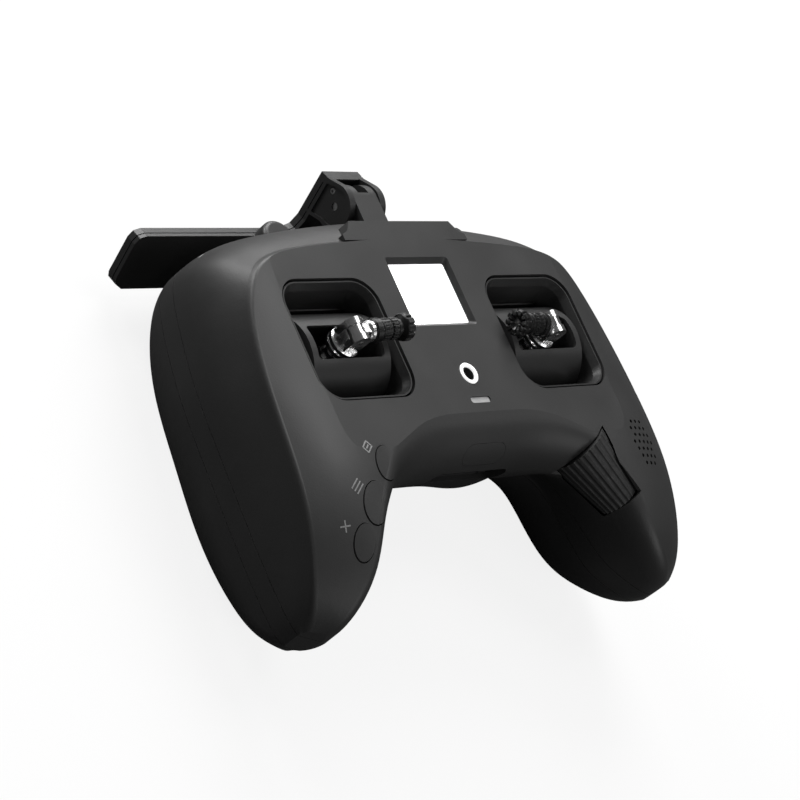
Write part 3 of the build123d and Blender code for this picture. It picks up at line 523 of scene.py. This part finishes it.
class Printer:
    """Lays thin strokes of ink on the front shell."""

    def __init__(self, node):
        mesh = nodes[node].data
        points = [v.co.copy() for v in mesh.vertices]
        polygons = [tuple(p.vertices) for p in mesh.polygons]
        self.tree = BVHTree.FromPolygons(points, polygons)

    def drop(self, point, direction):
        hit, normal, _, _ = self.tree.ray_cast(point, direction)
        if hit is None:
            raise RuntimeError("a printed stroke misses the casing")
        if normal.dot(direction) > 0:
            normal = -normal
        return hit, normal

    def print(self, name, strokes, plane, material):
        """strokes are lists of (a, b, width) in the plane's own axes; plane is a 4x4 matrix facing out."""
        verts, faces = [], []
        into = -(plane.to_3x3() @ Vector((0, 0, 1)))
        for a, b, width in strokes:
            a, b = Vector(a), Vector(b)
            along = b - a
            across = Vector((-along.y, along.x)).normalized() * width / 2
            count = max(2, math.ceil(along.length / INK_STEP))
            base = len(verts)
            for k in range(count + 1):
                for edge in (-1, 1):
                    p = a + along * k / count + across * edge
                    hit, normal = self.drop(plane @ Vector((p.x, p.y, 0)), into)
                    verts += [hit + normal * INK, hit - normal * INK]
            for k in range(count):
                i = base + 4 * k
                j = i + 4
                faces += [(i, j, j + 2, i + 2), (i + 1, i + 3, j + 3, j + 1),
                          (i, i + 1, j + 1, j), (i + 2, j + 2, j + 3, i + 3)]
            end = base + 4 * count
            faces += [(base, base + 2, base + 3, base + 1), (end, end + 1, end + 3, end + 2)]
        mesh = bpy.data.meshes.new(name)
        mesh.from_pydata(verts, [], faces)
        mesh.materials.append(material)
        obj = bpy.data.objects.new(name, mesh)
        bpy.context.scene.collection.objects.link(obj)
        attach(obj, "casing")


def print_marks():
    """Plain pictograms by the three keys, and a small dash on the left shoulder."""
    ink = printed_white()
    printer = Printer("front_shell")
    line = ICON_LINE
    w, h = 1.5 * MM, 1.2 * MM
    icons = {
        "button_page": [((-w, -h), (-w, h), line), ((-w, h), (w, h), line), ((w, h), (w, -h), line),
                        ((w, -h), (-w, -h), line), ((-0.6 * w, 0), (0.6 * w, 0), line)],
        "button_menu": [((-1.3 * w, y), (1.3 * w, y), line) for y in (-h, 0, h)],
        "button_exit": [((-h, -h), (h, h), line), ((-h, h), (h, -h), line)],
    }
    for key, strokes in icons.items():
        low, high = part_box(key)
        centre = (low + high) / 2 + ICON_OFFSET
        plane = Matrix.Translation((centre.x, centre.y, FRONT + DROP)) @ Matrix.Rotation(ICON_TURN, 4, "Z")
        printer.print(f"icon_{key}", strokes, plane, ink)
    normal = DASH_FACING.normalized()
    place = DASH_PLACE + normal * DROP
    plane = Matrix.Translation(place) @ normal.to_track_quat("Z", "Y").to_matrix().to_4x4()
    printer.print("shoulder_dash", [((-1.2 * MM, 0), (1.2 * MM, 0), 0.9 * MM)], plane, ink)


# ---------------------------------------------------------------- stage
CAMERA_PLACE = Vector((-0.694205, -0.294745, 0.593775))
CAMERA_AIM = Vector((-0.0358, -0.0216, 0.058))
CAMERA_ROLL = math.radians(51.77)
LENS = 135.57  # millimetres, on a 36 mm sensor
FLOOR_HALF = 3.0
FLOOR_GAP = 0.2 * MM


def camera():
    """Looks down on the face from the left, with the aerial edge rolled to the top of the picture."""
    data = bpy.data.cameras.new("camera")
    data.lens = LENS
    data.sensor_width = 36.0
    data.clip_start = 0.01
    obj = bpy.data.objects.new("camera", data)
    bpy.context.scene.collection.objects.link(obj)
    back = (CAMERA_PLACE - CAMERA_AIM).normalized()
    right = Vector((0, 0, 1)).cross(back).normalized()
    up = back.cross(right)
    turned_right = right * math.cos(CAMERA_ROLL) + up * math.sin(CAMERA_ROLL)
    turned_up = up * math.cos(CAMERA_ROLL) - right * math.sin(CAMERA_ROLL)
    axes = Matrix((turned_right, turned_up, back)).transposed()
    obj.matrix_world = Matrix.Translation(CAMERA_PLACE) @ axes.to_4x4()
    bpy.context.scene.camera = obj


def softbox(name, direction, distance, size, power):
    """Square area light aimed at the object's middle."""
    data = bpy.data.lights.new(name, "AREA")
    data.shape = "SQUARE"
    data.size = size
    data.energy = power
    obj = bpy.data.objects.new(name, data)
    bpy.context.scene.collection.objects.link(obj)
    direction = Vector(direction).normalized()
    middle = (cad_low + cad_high) / 2
    obj.matrix_world = (Matrix.Translation(middle + direction * distance)
                        @ direction.to_track_quat("Z", "Y").to_matrix().to_4x4())


def split_by_ray(tree, seen, other, output):
    """seen reaches the camera directly, other lights the object."""
    path = tree.nodes.new("ShaderNodeLightPath")
    mix = tree.nodes.new("ShaderNodeMixShader")
    tree.links.new(path.outputs["Is Camera Ray"], mix.inputs["Fac"])
    tree.links.new(other, mix.inputs[1])
    tree.links.new(seen, mix.inputs[2])
    tree.links.new(mix.outputs["Shader"], output)


def world():
    """White to the camera, dim to the object."""
    scene = bpy.context.scene
    scene.world = bpy.data.worlds.new("studio")
    scene.world.use_nodes = True
    tree = scene.world.node_tree
    dim = tree.nodes["Background"]
    dim.inputs["Color"].default_value = (0.07, 0.07, 0.07, 1.0)
    bright = tree.nodes.new("ShaderNodeBackground")
    bright.inputs["Color"].default_value = (1.0, 1.0, 1.0, 1.0)
    split_by_ray(tree, bright.outputs[0], dim.outputs[0], tree.nodes["World Output"].inputs["Surface"])
    scene.view_settings.view_transform = "Standard"


def floor():
    """Flat floor under the object: nearly white to the camera, dim to the object."""
    mesh = bpy.data.meshes.new("floor")
    half = FLOOR_HALF
    low = cad_low.z - FLOOR_GAP
    mesh.from_pydata([(-half, -half, low), (half, -half, low), (half, half, low), (-half, half, low)],
                     [], [(0, 1, 2, 3)])
    obj = bpy.data.objects.new("floor", mesh)
    bpy.context.scene.collection.objects.link(obj)
    material = bpy.data.materials.new("floor_paper")
    material.use_nodes = True
    tree = material.node_tree
    pale = tree.nodes["Principled BSDF"]
    pale.inputs["Base Color"].default_value = (0.9, 0.9, 0.9, 1.0)
    pale.inputs["Roughness"].default_value = 0.9
    bounce = tree.nodes.new("ShaderNodeBsdfDiffuse")
    bounce.inputs["Color"].default_value = (0.10, 0.10, 0.10, 1.0)
    glow = tree.nodes.new("ShaderNodeEmission")
    lift = tree.nodes.new("ShaderNodeMixShader")
    lift.inputs["Fac"].default_value = 0.85
    tree.links.new(pale.outputs[0], lift.inputs[1])
    tree.links.new(glow.outputs[0], lift.inputs[2])
    split_by_ray(tree, lift.outputs[0], bounce.outputs[0], tree.nodes["Material Output"].inputs["Surface"])
    mesh.materials.append(material)


def lights():
    """A large key beyond the aerial edge, soft fills, and small lights meant to glint in the bright metal."""
    softbox("key", (0.3, 0.85, 0.52), 1.1, 0.7, 14)
    softbox("top", (0.35, 0.25, 1.0), 1.2, 0.6, 4.5)
    softbox("back_rim", (-0.35, 1.0, 0.3), 1.1, 0.35, 8)
    softbox("arch_fill", (0.35, -0.8, 0.55), 1.2, 0.6, 2.6)
    for number, direction in enumerate(((-0.75, -0.5, 0.75), (-0.2, -0.75, 0.7), (0.7, -0.2, 0.7))):
        softbox(f"sparkle_{number}", direction, 1.1, 0.13, 0.55)


# ---------------------------------------------------------------- build
black_metal, screw_metal = paint_all()
for stick in SIDES:
    stick_tube(stick, black_metal)
    stick_tip(stick, black_metal)
cheek_screws(screw_metal)
print_marks()
camera()
world()
floor()
lights()
